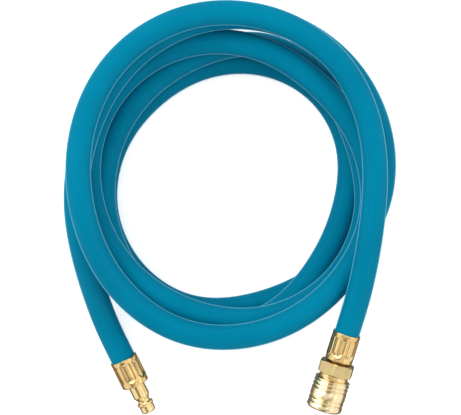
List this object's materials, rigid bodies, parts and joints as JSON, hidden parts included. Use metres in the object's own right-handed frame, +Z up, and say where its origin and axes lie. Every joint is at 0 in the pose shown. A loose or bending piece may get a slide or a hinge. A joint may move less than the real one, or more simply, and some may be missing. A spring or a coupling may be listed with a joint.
{
  "type": "coiled air hose",
  "caption": "Flexible air hose lying in an open coil, with crimped ferrules, a quick coupling with a sliding lock sleeve at one end and a grooved plug at the other.",
  "frame": {"origin": "centre of the bounding box on the floor plane the coil rests on", "axes": "+Z up from the floor, through the open middle of the coil; +Y away from the two fittings, which point towards -Y; +X to the side the coupling lies on"},
  "size_m": [0.2095, 0.2622, 0.0821],
  "materials": {
    "hose": "satin flexible PVC",
    "ferrule_brass": "pressed, satin",
    "hex_brass": "machined, satin",
    "sleeve_brass": "turned, polished",
    "plug_brass": "turned, polished",
    "inner_brass": "turned",
    "seal_rubber": "matte",
    "spring_steel": "drawn wire",
    "ball_steel": "polished"
  },
  "bodies": {
    "line": {"hose": "hose", "coupling_ferrule": "ferrule_brass", "coupling_tail": "inner_brass", "hex_body": "hex_brass", "body_seal": "seal_rubber", "socket": "inner_brass", "socket_seal": "seal_rubber", "stop_ring": "spring_steel", "sleeve_spring": "spring_steel", "valve_spring": "spring_steel", "plug_ferrule": "ferrule_brass", "plug": "plug_brass"},
    "lock_sleeve": {"sleeve": "sleeve_brass"},
    "valve": {"valve_poppet": "inner_brass", "valve_seal": "seal_rubber"},
    "ball_1": {"locking_ball_1": "ball_steel"},
    "ball_2": {"locking_ball_2": "ball_steel"},
    "ball_3": {"locking_ball_3": "ball_steel"},
    "ball_4": {"locking_ball_4": "ball_steel"},
    "ball_5": {"locking_ball_5": "ball_steel"},
    "ball_6": {"locking_ball_6": "ball_steel"}
  },
  "joints": [
    {"name": "sleeve_slide", "type": "slide", "parent": "line", "child": "lock_sleeve", "axis": [0.2879, 0.9418, 0.1736], "range_m": [0, 0.0026], "stiffness_N_per_m": 2000, "springref_m": -0.004, "deforming": ["sleeve_spring"]},
    {"name": "valve_slide", "type": "slide", "parent": "line", "child": "valve", "axis": [0.2879, 0.9418, 0.1736], "range_m": [0, 0.002], "stiffness_N_per_m": 800, "springref_m": -0.004, "deforming": ["valve_spring"]},
    {"name": "ball_1_slide", "type": "slide", "parent": "line", "child": "ball_1", "axis": [0.5221, -0.0024, -0.8529], "range_m": [0, 0.00075]},
    {"name": "ball_2_slide", "type": "slide", "parent": "line", "child": "ball_2", "axis": [0.9563, -0.2924, 0], "range_m": [0, 0.00075]},
    {"name": "ball_3_slide", "type": "slide", "parent": "line", "child": "ball_3", "axis": [0.4342, -0.29, 0.8529], "range_m": [0, 0.00075]},
    {"name": "ball_4_slide", "type": "slide", "parent": "line", "child": "ball_4", "axis": [-0.5221, 0.0024, 0.8529], "range_m": [0, 0.00075]},
    {"name": "ball_5_slide", "type": "slide", "parent": "line", "child": "ball_5", "axis": [-0.9563, 0.2924, 0], "range_m": [0, 0.00075]},
    {"name": "ball_6_slide", "type": "slide", "parent": "line", "child": "ball_6", "axis": [-0.4342, 0.29, -0.8529], "range_m": [0, 0.00075]}
  ],
  "couplings": [
    {"joint": "ball_1_slide", "follows": "sleeve_slide", "ratio": 0.288},
    {"joint": "ball_2_slide", "follows": "sleeve_slide", "ratio": 0.288},
    {"joint": "ball_3_slide", "follows": "sleeve_slide", "ratio": 0.288},
    {"joint": "ball_4_slide", "follows": "sleeve_slide", "ratio": 0.288},
    {"joint": "ball_5_slide", "follows": "sleeve_slide", "ratio": 0.288},
    {"joint": "ball_6_slide", "follows": "sleeve_slide", "ratio": 0.288}
  ]
}
